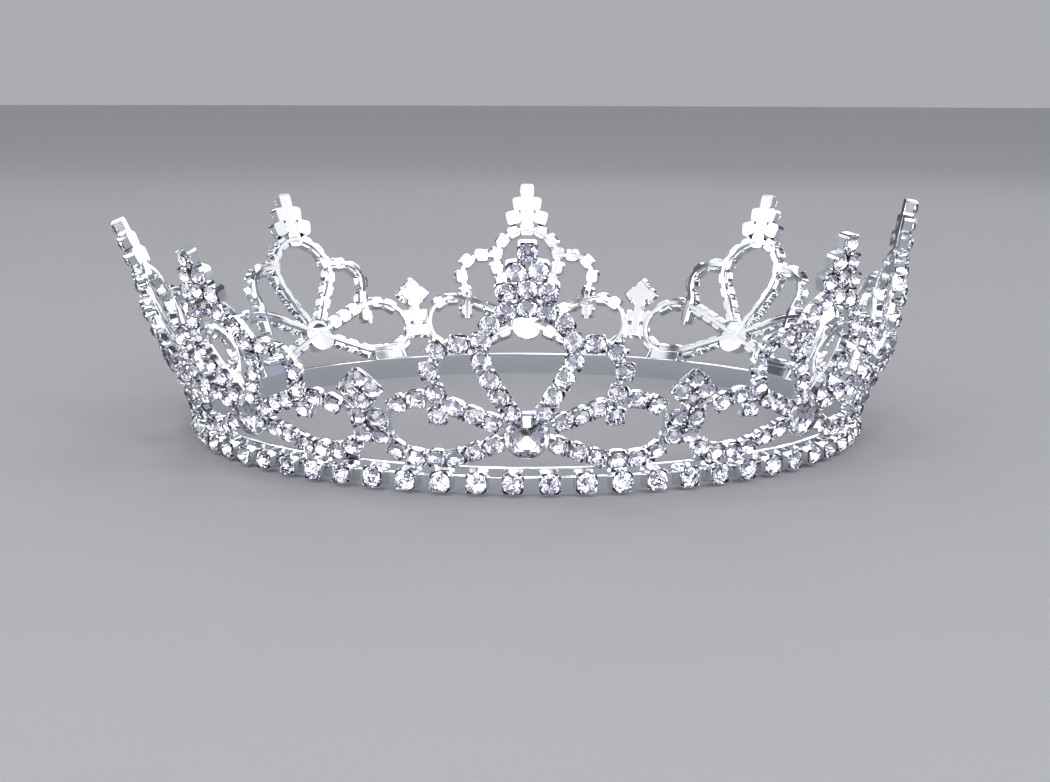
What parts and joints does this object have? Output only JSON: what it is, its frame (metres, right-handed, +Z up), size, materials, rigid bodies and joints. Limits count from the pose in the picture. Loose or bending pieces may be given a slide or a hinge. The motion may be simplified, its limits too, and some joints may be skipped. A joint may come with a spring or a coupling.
{
  "type": "rhinestone crown",
  "caption": "Round openwork crown of silver metal with eight tall peaks on a plain band, set all over with clear cut stones, worn on the head.",
  "frame": {"origin": "centre of the ring in the plane of the band's lower rim", "axes": "+Z up along the axis of the head opening, -Y towards the front peak, +X to the right seen from the front"},
  "size_m": [0.149, 0.1466, 0.0424],
  "materials": {
    "silver_metal": "polished",
    "clear_stone": "clear, cut"
  },
  "bodies": {
    "root": {"band": "silver_metal", "band_stones": "clear_stone", "peak_1": "silver_metal", "peak_2": "silver_metal", "peak_3": "silver_metal", "peak_4": "silver_metal", "peak_5": "silver_metal", "peak_6": "silver_metal", "peak_7": "silver_metal", "peak_8": "silver_metal", "cluster_1": "silver_metal", "cluster_2": "silver_metal", "cluster_3": "silver_metal", "cluster_4": "silver_metal", "cluster_5": "silver_metal", "cluster_6": "silver_metal", "cluster_7": "silver_metal", "cluster_8": "silver_metal", "big_stone_1": "clear_stone", "big_stone_2": "clear_stone", "big_stone_3": "clear_stone", "big_stone_4": "clear_stone", "big_stone_5": "clear_stone", "big_stone_6": "clear_stone", "big_stone_7": "clear_stone", "big_stone_8": "clear_stone", "peak_stones_1": "clear_stone", "peak_stones_2": "clear_stone", "peak_stones_3": "clear_stone", "peak_stones_4": "clear_stone", "peak_stones_5": "clear_stone", "peak_stones_6": "clear_stone", "peak_stones_7": "clear_stone", "peak_stones_8": "clear_stone"}
  },
  "joints": []
}
